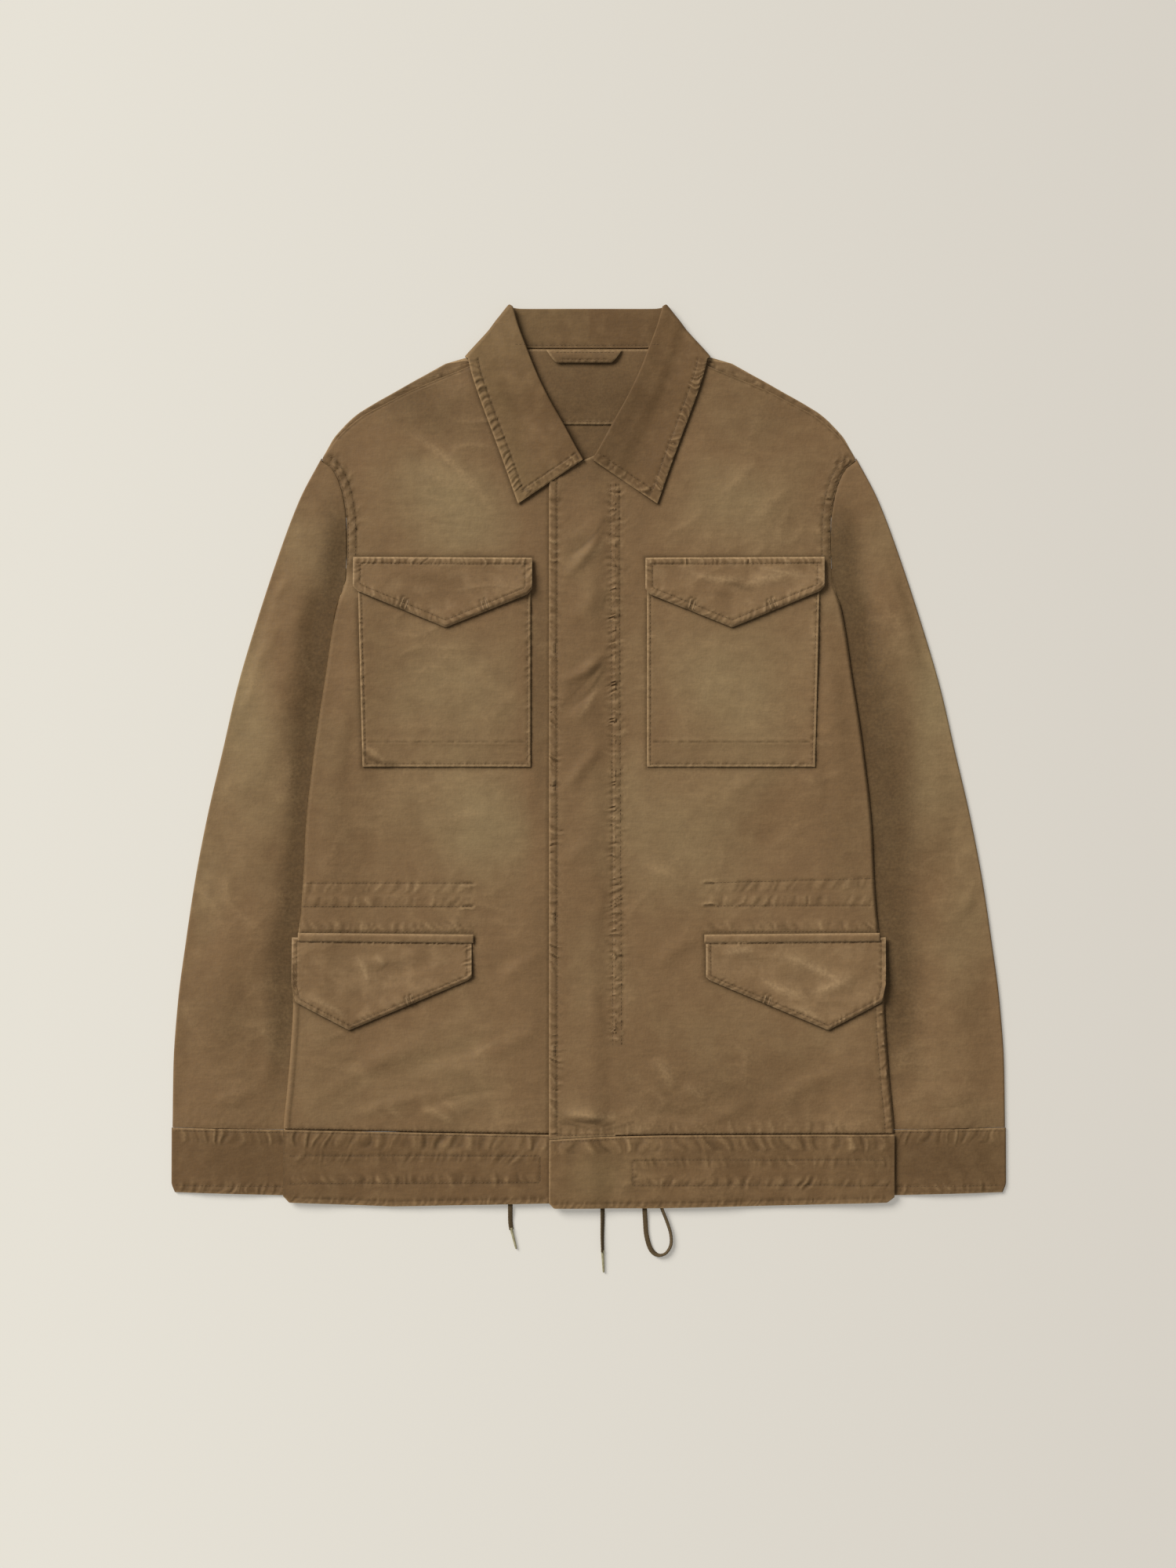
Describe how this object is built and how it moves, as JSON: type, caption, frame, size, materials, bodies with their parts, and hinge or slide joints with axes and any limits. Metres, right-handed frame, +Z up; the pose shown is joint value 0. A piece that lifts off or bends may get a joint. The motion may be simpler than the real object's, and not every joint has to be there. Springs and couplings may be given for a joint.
{
  "type": "field jacket",
  "caption": "Washed cotton field jacket laid flat on its back, with a shirt collar, covered fly, flapped chest and waist pockets, cuffs and a drawcord hem.",
  "frame": {"origin": "on the surface that the jacket lies on, under the middle of its length and width, leaving out the drawcord", "axes": "+Y up the jacket towards the collar, +X towards the wearer's left sleeve, +Z up, out of the jacket's front"},
  "size_m": [0.7448, 0.8643, 0.0113],
  "materials": {
    "canvas": "washed and faded cotton canvas, olive brown",
    "canvas_trim": "the same canvas, less faded, on collar, cuffs and hem",
    "canvas_flap": "the same canvas, with worn and puckered edges",
    "drawcord": "dark brown flat braid",
    "cord_tip": "pale olive sealed tip"
  },
  "bodies": {
    "root": {"back": "canvas", "back_hem_band": "canvas_trim", "collar": "canvas_trim", "fly_placket": "canvas", "hanger_loop": "canvas", "hem_cord_long": "drawcord", "hem_cord_long_tip": "cord_tip", "hem_cord_loop": "drawcord", "hem_cord_short": "drawcord", "hem_cord_short_tip": "cord_tip", "left_chest_flap": "canvas_flap", "left_chest_pocket": "canvas", "left_cuff": "canvas_trim", "left_flap_welt": "canvas", "left_front": "canvas", "left_hem_band": "canvas_trim", "left_lower_flap": "canvas_flap", "left_sleeve": "canvas", "neck_facing": "canvas", "right_chest_flap": "canvas_flap", "right_chest_pocket": "canvas", "right_cuff": "canvas_trim", "right_flap_welt": "canvas", "right_front": "canvas", "right_hem_band": "canvas_trim", "right_lower_flap": "canvas_flap", "right_sleeve": "canvas"}
  },
  "joints": []
}
